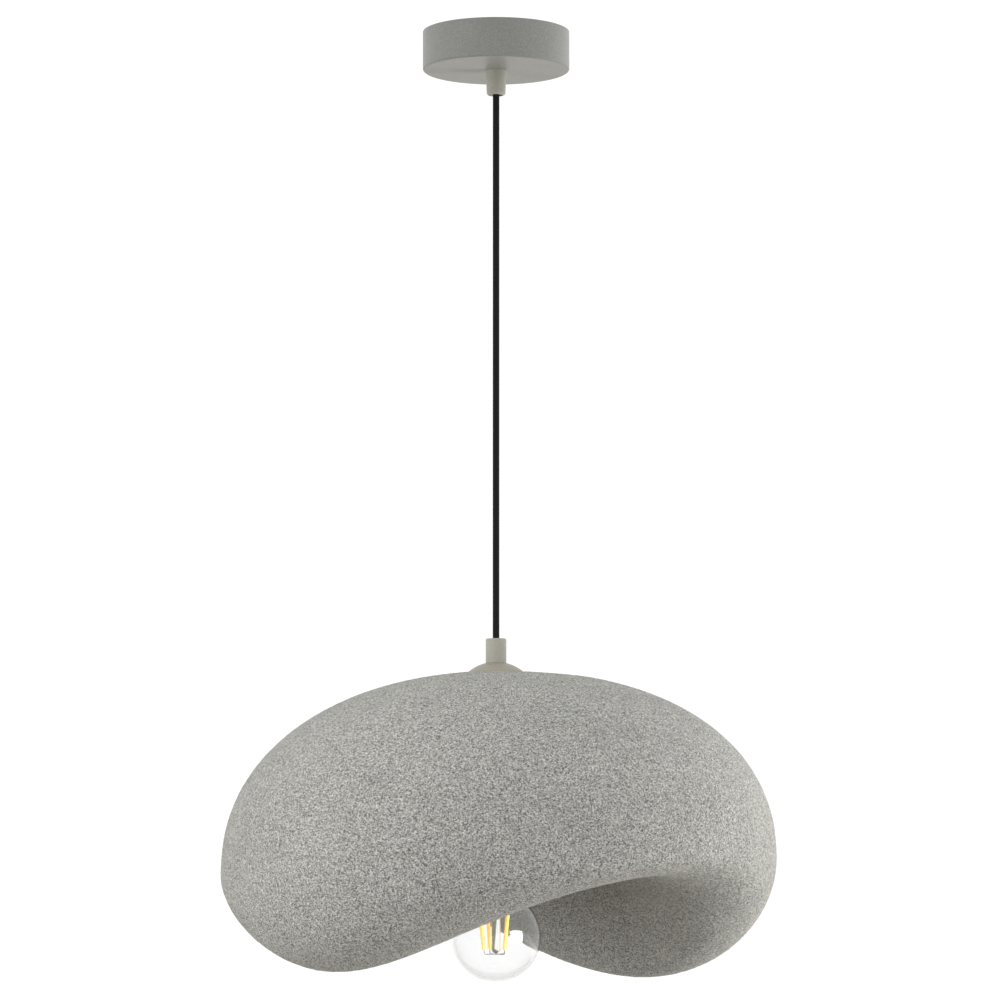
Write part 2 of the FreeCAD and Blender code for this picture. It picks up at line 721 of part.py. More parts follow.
def spline_poles(points, closed):
    """Control points of a cubic spline that passes very close to a row of points."""
    poles = list(points)
    last = len(points) - 1
    for i, point in enumerate(points):
        if closed or 1 < i < last - 1:
            before = points[i - 1]
            after = points[(i + 1) % len(points)]
            poles[i] = point - (before - point * 2 + after) / 6
    return poles


def shade_skin():
    """Smooth skin of the shade, closed round the axis and open at its two flat end rings."""
    around = [spline_poles(list(row), True) for row in zip(*shade_points())]
    poles = [spline_poles(list(column), False) for column in zip(*around)]
    down = len(poles[0])
    skin = Part.BSplineSurface()
    skin.buildFromPolesMultsKnots(
        poles,
        [1] * (SHADE_COLUMNS + 1),
        [4] + [1] * (down - 4) + [4],
        [float(i) for i in range(SHADE_COLUMNS + 1)],
        [float(i) for i in range(down - 2)],
        True,
        False,
        3,
        3,
    )
    return skin.toShape()


def shade():
    """Thick moulded shade: arched body, seat for the cap, bore for the nipple, lamp well."""
    skin = shade_skin()
    faces = [skin]
    for edge in skin.Edges:
        if edge.isClosed() and edge.BoundBox.ZLength < 1e-4:
            faces.append(Part.Face(Part.Wire([edge])))
    shell = Part.makeShell(faces)
    shell.sewShape()
    body = Part.makeSolid(shell)
    seat = Part.makeCylinder(SEAT_RADIUS, 20, Vector(0, 0, -SEAT_DROP))
    bore = Part.makeCylinder(M10_RADIUS + 0.3, 100, Vector(0, 0, -WELL_TOP_DROP - 10))
    crown_z = -ARCH_CROWN_DROP
    edge_radius = WELL_EDGE_RADIUS
    well = turned(
        (0, -WELL_TOP_DROP),
        (WELL_RADIUS, -WELL_TOP_DROP),
        (WELL_RADIUS, crown_z + edge_radius),
        arc_step((WELL_RADIUS + edge_radius, crown_z + edge_radius), edge_radius, 180, 270),
        (WELL_RADIUS + edge_radius, crown_z - 1),
        (0, crown_z - 1),
    )
    return body.cut(seat).cut(bore).cut(well)


# ---------------------------------------------------------------- lampholder


def lampholder_cap():
    """Metal cover of the lampholder, with a collar for the nipple and a hole for its lock screw."""
    wall = HOLDER_WALL
    shoulder = HOLDER_SHOULDER_RADIUS
    outer = HOLDER_RADIUS
    inner = outer - wall
    top_z = HOLDER_SHOULDER_Z + wall
    corner = (outer - shoulder, top_z - shoulder)
    cover = turned(
        (M10_RADIUS, -HOLDER_TOP_DROP),
        (HOLDER_COLLAR_RADIUS, -HOLDER_TOP_DROP),
        (HOLDER_COLLAR_RADIUS, top_z),
        (corner[0], top_z),
        arc_step(corner, shoulder, 90, 0),
        (outer, HOLDER_JOINT_Z),
        (inner, HOLDER_JOINT_Z),
        (inner, corner[1]),
        arc_step(corner, shoulder - wall, 0, 90),
        (M10_RADIUS, HOLDER_SHOULDER_Z),
    )
    start = Vector(M10_RADIUS - 3, 0, HOLDER_SCREW_Z)
    end = Vector(HOLDER_COLLAR_RADIUS + 1.5, 0, HOLDER_SCREW_Z)
    return cover.cut(rod(start, end, M3_RADIUS))


def lampholder_lock_screw():
    """Grub screw in the collar that stops the lampholder turning on the nipple."""
    start = Vector(M10_RADIUS - CLAMP_BITE, 0, HOLDER_SCREW_Z)
    return grub_screw(start, Vector(1, 0, 0), M3_RADIUS, 2.6, 1.5)


def rivet_rod(x, low_z, height):
    """A rivet's shank, or the cutter for its hole, at this X place."""
    return Part.makeCylinder(RIVET_RADIUS, height, Vector(x, 0, low_z))


def lampholder_insert():
    """Insulating disc that carries the contacts and rests on the shell's shoulder."""
    disc = turned(
        (0, INSERT_END_Z),
        (INSERT_RADIUS - 0.4, INSERT_END_Z),
        (INSERT_RADIUS, INSERT_END_Z + 0.4),
        (INSERT_RADIUS, INSERT_TOP_Z),
        (0, INSERT_TOP_Z),
    )
    for x in (CONTACT_RIVET_X, SHELL_RIVET_X):
        disc = disc.cut(rivet_rod(x, INSERT_END_Z - 5, 20))
    return disc


def lampholder_terminal_plates():
    """Two brass plates on the insert, one for each core."""
    plates = []
    top_z = INSERT_TOP_Z + TERMINAL_PLATE_THICKNESS
    for low_x, high_x, rivet_x in ((-13.5, -3.5, CONTACT_RIVET_X), (3.5, 13.5, SHELL_RIVET_X)):
        plate = box(Vector(low_x, -3, INSERT_TOP_Z), Vector(high_x, 3, top_z))
        plates.append(plate.cut(rivet_rod(rivet_x, INSERT_END_Z - 5, 20)))
    return Part.makeCompound(plates)


def lampholder_contact_rivets():
    """Two rivets that join each plate to its contact below the insert."""
    low_z = INSERT_END_Z - 0.5
    height = INSERT_TOP_Z + TERMINAL_PLATE_THICKNESS - low_z
    return Part.makeCompound([rivet_rod(x, low_z, height) for x in (CONTACT_RIVET_X, SHELL_RIVET_X)])


def lampholder_terminal_screws():
    """Cheese-head screws that clamp the cores on the brass plates."""
    screws = []
    base = INSERT_TOP_Z + TERMINAL_PLATE_THICKNESS
    for x in (-11.0, 8.0):
        head = Part.makeCylinder(HOLDER_SCREW_RADIUS, 1.8, Vector(x, 0, base))
        slot = box(Vector(x - 2, -0.3, base + 1.1), Vector(x + 2, 0.3, base + 3))
        screws.append(head.cut(slot))
    return Part.makeCompound(screws)


def lampholder_earth_screw():
    """Screw under the cover's roof for the earth core."""
    return pan_screw(Vector(0, -12.0, HOLDER_SHOULDER_Z), 1.2, 0.1, 2.2, 1.6, 0.6)


def lampholder_centre_contact():
    """Sprung brass tongue that presses on the bulb's tip."""
    top = INSERT_END_Z
    low = BULB_TIP_Z + 0.1
    thickness = 0.5
    points = [
        Vector(-7.0, 0, top),
        Vector(-7.0, 0, top - thickness),
        Vector(-4.2, 0, top - thickness),
        Vector(-1.8, 0, low),
        Vector(1.8, 0, low),
        Vector(5.0, 0, top - 1.6),
        Vector(5.0, 0, top - 1.1),
        Vector(1.6, 0, low + thickness),
        Vector(-1.5, 0, low + thickness),
        Vector(-3.9, 0, top),
        Vector(-7.0, 0, top),
    ]
    tongue = Part.Face(Part.makePolygon(points)).extrude(Vector(0, 4.4, 0))
    tongue.translate(Vector(0, -2.2, 0))
    return tongue.cut(rivet_rod(CONTACT_RIVET_X, INSERT_END_Z - 2, 3))


def lampholder_thread_shell():
    """Brass screw shell of the lampholder, hung from its flange under the insert."""
    wall = THREAD_SHEET
    turns = HOLDER_THREAD_TURNS
    low_z = INSERT_END_Z - 3.6 - turns * THREAD_PITCH
    top_z = low_z + turns * THREAD_PITCH
    sleeve = thread_sleeve(HOLDER_THREAD_RADIUS, wall, low_z, turns)
    collar = turned(
        (HOLDER_THREAD_RADIUS, top_z),
        (HOLDER_THREAD_RADIUS + wall, top_z),
        (HOLDER_THREAD_RADIUS + wall, INSERT_END_Z),
        (8.5, INSERT_END_Z),
        (8.5, INSERT_END_Z - 0.5),
        (HOLDER_THREAD_RADIUS, INSERT_END_Z - 0.5),
    )
    shell = sleeve.fuse(collar).removeSplitter()
    return shell.cut(rivet_rod(SHELL_RIVET_X, INSERT_END_Z - 2, 3))


def lampholder_shell():
    """Outer skirt of the lampholder, screwed into the cover."""
    end_z = -HOLDER_BOTTOM_DROP
    rounding = 1.2
    outer = SKIRT_RADIUS
    spigot = HOLDER_RADIUS - HOLDER_WALL
    seat = INSERT_RADIUS + 0.2
    return turned(
        (seat, INSERT_TOP_Z),
        (spigot, INSERT_TOP_Z),
        (spigot, HOLDER_JOINT_Z),
        (outer, HOLDER_JOINT_Z),
        (outer, end_z + rounding),
        arc_step((outer - rounding, end_z + rounding), rounding, 0, -90),
        (SKIRT_BORE_RADIUS, end_z),
        (SKIRT_BORE_RADIUS, INSERT_END_Z),
        (seat, INSERT_END_Z),
    )


def lamp_core(side):
    """A live (-1) or neutral (+1) core from the cord's lower end to its terminal screw."""
    head = CORE_PLACES["live" if side < 0 else "neutral"] + Vector(0, 0, LOWER_SHEATH_END_Z)
    end_x = -9.35 if side < 0 else 6.35
    level = INSERT_TOP_Z + TERMINAL_PLATE_THICKNESS + 1.0
    bend = Vector(side * 3.6, 0.3, level)
    return lead([head, head - Vector(0, 0, 3.6), bend, Vector(end_x, 0, level)], CORE_RADIUS)


def lamp_wire_earth():
    """Earth core from the cord's lower end to the screw under the cover's roof."""
    head = CORE_PLACES["earth"] + Vector(0, 0, LOWER_SHEATH_END_Z)
    level = HOLDER_SHOULDER_Z - 1.2
    bend = Vector(0, -5.6, level - 0.7)
    return lead([head, head - Vector(0, 0, 3.4), bend, Vector(0, -9.7, level)], CORE_RADIUS)


# ---------------------------------------------------------------- bulb


def bulb_screw_cap():
    """Nickel-plated E27 screw cap, open at both ends."""
    wall = THREAD_SHEET
    turns = BULB_THREAD_TURNS
    skirt_top = NECK_Z + 6
    low_z = skirt_top
    high_z = low_z + turns * THREAD_PITCH
    sleeve = thread_sleeve(BULB_THREAD_RADIUS, wall, low_z, turns)
    skirt = turned(
        (13.0, NECK_Z + 1),
        (BULB_NECK_RADIUS, NECK_Z + 1),
        (BULB_NECK_RADIUS, NECK_Z + 3),
        (BULB_THREAD_RADIUS + wall, skirt_top),
        (BULB_THREAD_RADIUS, skirt_top),
        (13.0, NECK_Z + 3),
    )
    shoulder = turned(
        (BULB_THREAD_RADIUS, high_z),
        (BULB_THREAD_RADIUS + wall, high_z),
        (9.6, BULB_LIP_Z),
        (9.1, BULB_LIP_Z),
    )
    return sleeve.fuse(skirt).fuse(shoulder).removeSplitter()


def bulb_insulator():
    """Dark glass insulator between the cap and its tip."""
    return turned(
        (0, BULB_LIP_Z - 1.6),
        (8.6, BULB_LIP_Z - 1.6),
        (9.1, BULB_LIP_Z),
        (5.2, BULB_TIP_Z - 1.2),
        (0, BULB_TIP_Z - 1.2),
    )


def bulb_centre_contact():
    """Round solder contact at the bulb's tip."""
    return turned(
        (0, BULB_TIP_Z - 1.2),
        (4.8, BULB_TIP_Z - 1.2),
        ((4.0, BULB_TIP_Z - 0.4), (2.2, BULB_TIP_Z)),
        (0, BULB_TIP_Z),
    )


def bulb_driver():
    """Small driver board with a smoothing capacitor and a choke, inside the screw cap."""
    board_z = NECK_Z + 9
    board = Part.makeCylinder(10.8, 1.2, Vector(0, 0, board_z))
    capacitor = Part.makeCylinder(3.2, 8.5, Vector(-4, 0, board_z + 1.2))
    choke = box(Vector(1.5, -3, board_z + 1.2), Vector(6.5, 3, board_z + 6.2))
    return board.fuse(capacitor).fuse(choke).removeSplitter()


def bulb_glass():
    """Clear A60 envelope: a sphere that runs by a hollow curve into a straight neck."""
    rise = NECK_Z - BULB_CENTRE_Z
    neck = BULB_NECK_RADIUS
    curve = (neck ** 2 + rise ** 2 - BULB_RADIUS ** 2) / (2 * (BULB_RADIUS - neck))
    join = math.degrees(math.atan2(rise, neck + curve))
    ball = (0, BULB_CENTRE_Z)
    hollow = (neck + curve, NECK_Z)
    inner_ball = BULB_RADIUS - GLASS_WALL
    inner_hollow = curve + GLASS_WALL
    return turned(
        (0, BULB_END_Z),
        arc_step(ball, BULB_RADIUS, -90, join),
        arc_step(hollow, curve, 180 + join, 180),
        (neck, NECK_Z + 0.9),
        (GLASS_SEAT_RADIUS, NECK_Z + 0.9),
        (GLASS_SEAT_RADIUS, NECK_Z + 4.5),
        (GLASS_SEAT_RADIUS - GLASS_WALL, NECK_Z + 4.5),
        (GLASS_SEAT_RADIUS - GLASS_WALL, NECK_Z + 0.5),
        (hollow[0] - inner_hollow, NECK_Z),
        arc_step(hollow, inner_hollow, 180, 180 + join),
        arc_step(ball, inner_ball, join, -90),
    )


def bulb_stem():
    """Glass stem: a thin flare sealed in the neck, drawn down into a slim round-ended post."""
    return turned(
        (0, STEM_FLARE_Z - 13),
        (0, STEM_END_Z),
        arc_step((0, STEM_END_Z + STEM_RADIUS), STEM_RADIUS, -90, 0),
        (STEM_RADIUS, STEM_FLARE_Z - 26),
        (STEM_RADIUS + 1.4, STEM_FLARE_Z - 13),
        (GLASS_SEAT_RADIUS - GLASS_WALL, STEM_FLARE_Z),
        (11.0, STEM_FLARE_Z),
        (STEM_RADIUS + 0.4, STEM_FLARE_Z - 12),
    )


def filament_ends(azimuth):
    """Foot and head of one filament, which leans outwards as it rises."""
    turn = math.radians(azimuth)
    outward = Vector(math.cos(turn), math.sin(turn), 0)
    foot = outward * FILAMENT_FOOT_RADIUS + Vector(0, 0, STEM_END_Z + 2.8)
    rise = FILAMENT_LENGTH / math.hypot(1, FILAMENT_LEAN)
    return foot, foot + (outward * FILAMENT_LEAN + UP) * rise


def bulb_filaments():
    """The four coated filament rods."""
    rods = []
    for azimuth in FILAMENT_AZIMUTHS:
        foot, head = filament_ends(azimuth)
        rods.append(rod(foot, head, FILAMENT_RADIUS))
    return Part.makeCompound(rods)


def bulb_support_wires():
    """Thin wires that hold each filament's head off the stem and join the feet at a hub."""
    wire_z = STEM_END_Z - 0.4
    feet = Part.makeCylinder(FILAMENT_HUB_RADIUS, 0.6, Vector(0, 0, wire_z - 0.3))
    heads = []
    for azimuth in FILAMENT_AZIMUTHS:
        foot, head = filament_ends(azimuth)
        outward = Vector(foot.x, foot.y, 0).normalize()
        inside_hub = outward * (0.7 * FILAMENT_HUB_RADIUS) + Vector(0, 0, wire_z)
        below = Vector(foot.x, foot.y, wire_z)
        feet = feet.fuse(lead([inside_hub, below, foot], FILAMENT_WIRE_RADIUS))
        root = outward * (STEM_RADIUS + 0.3) + Vector(0, 0, head.z + 3.5)
        heads.append(rod(root, head + Vector(0, 0, 0.3), FILAMENT_WIRE_RADIUS))
    return Part.makeCompound([feet.removeSplitter()] + heads)


# ---------------------------------------------------------------- all sub-parts

NODES = {
    "ceiling_bracket": ceiling_bracket,
    "canopy_cup": canopy_cup,
    "canopy_side_screws": canopy_side_screws,
    "earth_screw": earth_screw,
    "earth_ring_terminal": earth_ring_terminal,
    "terminal_block": terminal_block,
    "terminal_block_screw": terminal_block_screw,
    "terminal_sleeves": terminal_sleeves,
    "terminal_screws": terminal_screws,
    "wire_live": lambda: upper_core(-1),
    "wire_neutral": lambda: upper_core(1),
    "wire_earth": wire_earth,
    "upper_gland_body": upper_gland_body,
    "upper_gland_washer": upper_gland_washer,
    "upper_gland_nut": upper_gland_nut,
    "upper_gland_clamp_screw": lambda: clamp_screw(UPPER_CLAMP_Z, GRIP_END_RADIUS),
    "upper_cord_tail": upper_cord_tail,
    "cord_head": cord_head,
    "suspension_cord": suspension_cord,
    "lower_cord_tail": lower_cord_tail,
    "lower_gland_body": lower_gland_body,
    "lower_gland_clamp_screw": lambda: clamp_screw(LOWER_CLAMP_Z, GLAND_RADIUS),
    "dome_cap": dome_cap,
    "threaded_nipple": threaded_nipple,
    "shade": shade,
    "shade_backing_plate": shade_backing_plate,
    "shade_nut": shade_nut,
    "lampholder_cap": lampholder_cap,
    "lampholder_lock_screw": lampholder_lock_screw,
    "lampholder_insert": lampholder_insert,
    "lampholder_terminal_plates": lampholder_terminal_plates,
    "lampholder_contact_rivets": lampholder_contact_rivets,
    "lampholder_terminal_screws": lampholder_terminal_screws,
    "lampholder_earth_screw": lampholder_earth_screw,
    "lampholder_centre_contact": lampholder_centre_contact,
    "lampholder_thread_shell": lampholder_thread_shell,
    "lampholder_shell": lampholder_shell,
    "lamp_wire_live": lambda: lamp_core(-1),
    "lamp_wire_neutral": lambda: lamp_core(1),
    "lamp_wire_earth": lamp_wire_earth,
    "bulb_centre_contact": bulb_centre_contact,
    "bulb_screw_cap": bulb_screw_cap,
    "bulb_insulator": bulb_insulator,
    "bulb_driver": bulb_driver,
    "bulb_glass": bulb_glass,
    "bulb_stem": bulb_stem,
    "bulb_filaments": bulb_filaments,
    "bulb_support_wires": bulb_support_wires,
}


def main():
    os.makedirs("parts", exist_ok=True)
    for name, make in NODES.items():
        shape = make()
        shape.exportStep("parts/%s.step" % name)
        bounds = shape.BoundBox
        print(
            "%-28s solids %d valid %s volume %.1f z %.1f..%.1f"
            % (name, len(shape.Solids), shape.isValid(), shape.Volume, bounds.ZMin, bounds.ZMax)
        )


main()
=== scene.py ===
"""Pendant ceiling light with a sand-coated arch shade: the looks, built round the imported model."""

import json
import math

import bpy
import numpy as np
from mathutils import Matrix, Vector, noise


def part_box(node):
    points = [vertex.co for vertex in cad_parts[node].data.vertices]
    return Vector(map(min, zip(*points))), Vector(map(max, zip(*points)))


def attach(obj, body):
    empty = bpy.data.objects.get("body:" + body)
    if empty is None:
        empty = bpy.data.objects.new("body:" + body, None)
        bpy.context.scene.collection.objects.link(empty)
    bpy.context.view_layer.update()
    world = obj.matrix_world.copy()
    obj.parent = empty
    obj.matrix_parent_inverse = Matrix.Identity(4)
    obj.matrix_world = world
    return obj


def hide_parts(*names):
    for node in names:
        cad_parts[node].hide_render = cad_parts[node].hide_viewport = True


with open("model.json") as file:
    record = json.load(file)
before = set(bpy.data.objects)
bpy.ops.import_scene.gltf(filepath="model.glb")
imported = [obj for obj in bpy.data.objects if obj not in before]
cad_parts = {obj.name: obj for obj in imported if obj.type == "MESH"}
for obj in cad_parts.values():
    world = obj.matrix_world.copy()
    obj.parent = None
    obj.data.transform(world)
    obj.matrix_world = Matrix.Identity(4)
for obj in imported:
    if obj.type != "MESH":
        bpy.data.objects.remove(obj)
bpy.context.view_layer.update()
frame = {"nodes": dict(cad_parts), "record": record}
NODES = frame["nodes"]

# ---------------------------------------------------------------- driving values, in metres and degrees

CAMERA_DISTANCE = 2.550
CAMERA_HEIGHT = -0.540
CAMERA_PITCH = 4.922
CAMERA_TURN = -0.06
CAMERA_LENS_MM = 136.4
CAMERA_SENSOR_MM = 36.0
CAMERA_CLIP_END = 100.0

CORD_INSET = 0.0015          # how far the cord goes on inside the lower gland
CORD_POINTS = 7              # control points of the cord's route
CORD_ORDER = 3
BRAID_CARRIERS = 8           # yarns that wind each way
BRAID_COLUMNS = 48           # mesh points round the cord
BRAID_ROW = 0.00028          # mesh rows along it
BRAID_RELIEF = 0.00016       # the yarns' crowns over the low points between them
BRAID_TURN = 0.0115          # length in which a yarn winds once round
YARN_ROUNDNESS = 0.6
YARN_UNDER = 0.45            # the height of a yarn where it passes under another
YARN_OVER = 0.55             # what it gains where it passes over

SAND_VOXEL = 0.00215
SAND_SMOOTH_FACTOR = 0.5
SAND_SMOOTH_STEPS = 2
SAND_RELIEF = 0.00024
SAND_GRAIN = 0.0013
SAND_FINE_LUMP = 1.3         # sizes of the relief's lumps, in grains
SAND_BROAD_LUMP = 3.2
SAND_BROAD_SHARE = 0.5
SAND_CELL = 0.45             # sizes of the coloured grains, of the specks and of the uneven tone
SAND_SPECK = 0.30
SAND_WOBBLE = 0.5
SAND_GREYS = ((0.17, (0.030, 0.029, 0.027)), (0.39, (0.315, 0.315, 0.30)),
              (0.56, (0.49, 0.49, 0.47)), (0.81, (0.87, 0.86, 0.83)))
# Painted shade: ambient occlusion darkens the coat's colour in hollows, most deep in the arch.
PAINTED_SHADE_REACH = 0.5             # how far off a surface still darkens the coat with painted shade
PAINTED_SHADE_FADE = (0.3, 0.95)      # open shares between which the coat goes from its darkest painted shade to plain
PAINTED_SHADE_TONES = ((0.0, (0.45, 0.41, 0.385)), (1.0, (1.0, 1.0, 0.975)))

FLOOR_DROP = 2.25
FLOOR_RADIUS = 20.0
FLOOR_CORNERS = 64
FLOOR_GLOW = 0.36

BACKDROP = 1.07              # strengths of the world
MIRRORED = 1.1
SKY_FRONT = 0.74
SKY_BACK = 0.55
GROUND_BACK = 0.9
FRONT_FADE = (-0.3, 0.12)    # heights of a direction between which the front sky comes up
BACK_FADE = (-0.75, -0.22)   # and the ground at the back turns into sky
BEHIND_FADE = (-0.7, 0.9)    # how far back a direction points, from all front to all back
WARM_FADE = (-0.5, 0.2)      # heights between which the light turns from warm to white
WARM_GROUND = (1.0, 0.94, 0.88)

LIT_MIDDLE = (0.0, 0.0, -0.55)
SOFTBOXES = {                # place, side, watts
    "softbox_left": ((-1.8, -1.4, -0.75), 1.2, 23.0),
    "softbox_right": ((2.0, 0.2, -0.3), 1.2, 6.0),
    "softbox_top": ((0.5, 0.2, 1.6), 1.6, 8.0),
    "softbox_low": ((1.9, 0.0, -1.2), 1.0, 25.0),
}
GLINT_DIRECTION = (0.81, -0.58, 0.06)
GLINT_SIDE = 1.65
GLINT_REACH = 2.5
GLINT_RADIANCE = 26.0

EDGE_SAMPLES = 6
GLAND_BODIES = ("upper_gland_body", "lower_gland_body")
WHITE = (1.0, 1.0, 1.0)


# ---------------------------------------------------------------- camera


def make_camera():
    """A long lens a little below the shade's middle, tilted up so that the canopy's underside shows."""
    camera = bpy.data.objects.new("camera", bpy.data.cameras.new("camera"))
    bpy.context.scene.collection.objects.link(camera)
    camera.data.lens = CAMERA_LENS_MM
    camera.data.sensor_width = CAMERA_SENSOR_MM
    camera.data.clip_end = CAMERA_CLIP_END
    camera.location = (0.0, -CAMERA_DISTANCE, CAMERA_HEIGHT)
    camera.rotation_euler = (math.radians(90.0 + CAMERA_PITCH), 0.0, math.radians(CAMERA_TURN))
    bpy.context.scene.camera = camera


# ---------------------------------------------------------------- meshes


def add_mesh(name, points, faces):
    """A smooth-shaded mesh object of these points and faces."""
    mesh = bpy.data.meshes.new(name)
    mesh.from_pydata(points, [], faces)
    mesh.update()
    mesh.shade_smooth()
    made = bpy.data.objects.new(name, mesh)
    bpy.context.scene.collection.objects.link(made)
    return made


def straight_route(top, bottom):
    """The cord's route down the lamp's axis, as control points."""
    return [top.lerp(bottom, i / (CORD_POINTS - 1)) for i in range(CORD_POINTS)]


def spline_line(route):
    """The points along the NURBS spline that a route's control points make."""
    curve = bpy.data.curves.new("cord_line", "CURVE")
    curve.dimensions = "3D"
    spline = curve.splines.new("NURBS")
    spline.points.add(len(route) - 1)
    for point, place in zip(spline.points, route):
        point.co = (*place, 1.0)
    spline.order_u = CORD_ORDER
    spline.use_endpoint_u = True
    carrier = bpy.data.objects.new("cord_line", curve)
    mesh = bpy.data.meshes.new_from_object(carrier)
    line = [v.co.copy() for v in mesh.vertices]
    bpy.data.meshes.remove(mesh)
    bpy.data.curves.remove(curve)
    return line


def braid_height(round_share, along):
    """How far the braid stands from its low points, 0 to 1: two sets of yarns, over and under."""
    turn = along / BRAID_TURN
    first = BRAID_CARRIERS * (round_share + turn)
    second = BRAID_CARRIERS * (round_share - turn)
    across_first = (first % 1.0) - 0.5
    across_second = (second % 1.0) - 0.5
    sign_first = np.where(np.floor(first) % 2 == 0, 1.0, -1.0)
    sign_second = np.where(np.floor(second) % 2 == 0, 1.0, -1.0)
    crown_first = np.cos(math.pi * across_first) ** YARN_ROUNDNESS
    crown_second = np.cos(math.pi * across_second) ** YARN_ROUNDNESS
    lift_first = 0.5 + 0.5 * sign_first * np.sin(math.pi * second)
    lift_second = 0.5 - 0.5 * sign_second * np.sin(math.pi * first)
    return np.maximum(crown_first * (YARN_UNDER + YARN_OVER * lift_first),
                      crown_second * (YARN_UNDER + YARN_OVER * lift_second))


def tube_faces(rows, columns):
    """The faces of a closed tube of rings, and of the flat ends of the first and the last ring."""
    faces = []
    for row in range(rows - 1):
        for column in range(columns):
            beside = (column + 1) % columns
            here, below = row * columns, (row + 1) * columns
            faces.append((here + column, below + column, below + beside, here + beside))
    for row, order in ((0, 1), (rows - 1, -1)):
        faces.append(tuple(row * columns + c for c in range(columns))[::order])
    return faces


def make_cord():
    """The braided textile cord, taut from inside the upper grip's mouth to inside the lower gland."""
    low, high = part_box("suspension_cord")
    radius = (high.x - low.x) / 2
    top = Vector((0.0, 0.0, high.z))
    bottom = Vector((0.0, 0.0, low.z - CORD_INSET))
    line = spline_line(straight_route(top, bottom))
    length = (top - bottom).length
    rows = round(length / BRAID_ROW) + 1
    down = np.linspace(0.0, length, rows)[:, None]
    share = (np.arange(BRAID_COLUMNS) / BRAID_COLUMNS)[None, :]
    out = radius - BRAID_RELIEF + BRAID_RELIEF * braid_height(share, down)
    angle = 2 * math.pi * share
    points = np.stack([out * np.cos(angle), out * np.sin(angle), high.z - down + 0 * angle], axis=2)
    points = [tuple(p) for p in points.reshape(-1, 3)]
    cord = add_mesh("braided_cord", points, tube_faces(rows, BRAID_COLUMNS))
    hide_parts("suspension_cord", "cord_head")
    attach(cord, "cord")
    return cord


# ---------------------------------------------------------------- materials


class Nodes:
    """A node tree, with short calls that add nodes and join them."""

    def __init__(self, tree):
        self.tree = tree

    def set(self, node, inputs):
        """Sets a node's inputs, by name or number, to values or to other nodes' outputs."""
        for name, value in inputs.items():
            socket = node.inputs[name.replace("_", " ") if isinstance(name, str) else name]
            if isinstance(value, bpy.types.NodeSocket):
                self.tree.links.new(value, socket)
            else:
                socket.default_value = value

    def add(self, kind, options=None, inputs=None):
        """A new node of this kind, with its options and inputs set."""
        node = self.tree.nodes.new(kind)
        for name, value in (options or {}).items():
            setattr(node, name, value)
        self.set(node, inputs or {})
        return node

    def maths(self, operation, first, second):
        """One operation on two numbers."""
        return self.add("ShaderNodeMath", {"operation": operation}, {0: first, 1: second}).outputs[0]

    def weighted(self, first, first_share, second, second_share):
        """The sum of two numbers, each times its share."""
        return self.maths("ADD", self.maths("MULTIPLY", first, first_share),
                          self.maths("MULTIPLY", second, second_share))

    def spread(self, value, low, high, to_low=0.0, to_high=1.0):
        """value from low..high to to_low..to_high, clamped."""
        inputs = {"Value": value, "From_Min": low, "From_Max": high, "To_Min": to_low, "To_Max": to_high}
        return self.add("ShaderNodeMapRange", inputs=inputs).outputs[0]

    def mix(self, factor, first, second, blend="MIX"):
        """One colour over another."""
        options = {"data_type": "RGBA", "blend_type": blend}
        return self.add("ShaderNodeMix", options, {0: factor, 6: first, 7: second}).outputs[2]

    def times(self, first, second):
        """One colour or number times another."""
        return self.mix(1.0, first, second, "MULTIPLY")

    def ramp(self, factor, *stops):
        """A colour ramp through (position, grey or colour) stops."""
        node = self.add("ShaderNodeValToRGB", inputs={0: factor})
        elements = node.color_ramp.elements
        while len(elements) < len(stops):
            elements.new(0.5)
        for element, (position, colour) in zip(elements, stops):
            element.position = position
            element.color = colour_of(colour)
        return node.outputs[0]


class Look(Nodes):
    """A material of one Principled shader, with textures in the object's own space."""

    def __init__(self, name, **shader):
        self.material = bpy.data.materials.new(name)
        self.material.use_nodes = True
        super().__init__(self.material.node_tree)
        self.shader = self.tree.nodes["Principled BSDF"]
        self.output = self.tree.nodes["Material Output"]
        self.place = self.tree.nodes.new("ShaderNodeTexCoord").outputs["Object"]
        self.set(self.shader, shader)

    def noise(self, size, detail=2.0, roughness=0.5, place=None):
        """Smooth noise from 0 to 1 whose lumps are about size metres across."""
        inputs = {"Vector": place or self.place, "Scale": 1.0 / size,
                  "Detail": detail, "Roughness": roughness}
        return self.add("ShaderNodeTexNoise", inputs=inputs).outputs[0]

    def patchy(self, size, detail, low, high, edge=0.3):
        """Noise that wanders between low and high; edge is how much of it is clamped at each end."""
        return self.spread(self.noise(size, detail), edge, 1.0 - edge, low, high)

    def drawn_out(self, along):
        """The place for a texture drawn out along the lamp's axis; along is its scale there."""
        inputs = {"Vector": self.place, "Scale": (1.0, 1.0, along)}
        return self.add("ShaderNodeMapping", inputs=inputs).outputs[0]

    def cells(self, size):
        """Voronoi cells about size metres across: (distance, a random value for each cell)."""
        node = self.add("ShaderNodeTexVoronoi", inputs={"Vector": self.place, "Scale": 1.0 / size})
        split = self.add("ShaderNodeSeparateColor", inputs={"Color": node.outputs["Color"]})
        return node.outputs["Distance"], split.outputs[0]

    def bump(self, height, depth, strength, normal=None):
        """The normal of a surface whose height runs over depth metres."""
        inputs = {"Height": height, "Distance": depth, "Strength": strength}
        if normal is not None:
            inputs["Normal"] = normal
        return self.add("ShaderNodeBump", inputs=inputs).outputs[0]

    def soft_edges(self, radius):
        """The normal of a surface whose sharp edges are broken over this radius."""
        return self.add("ShaderNodeBevel", {"samples": EDGE_SAMPLES}, {"Radius": radius}).outputs[0]

    def finish(self, base, rough, normal):
        """The material, with its shader's colour, roughness and normal joined up."""
        self.set(self.shader, {"Base_Color": base, "Roughness": rough, "Normal": normal})
        return self.material


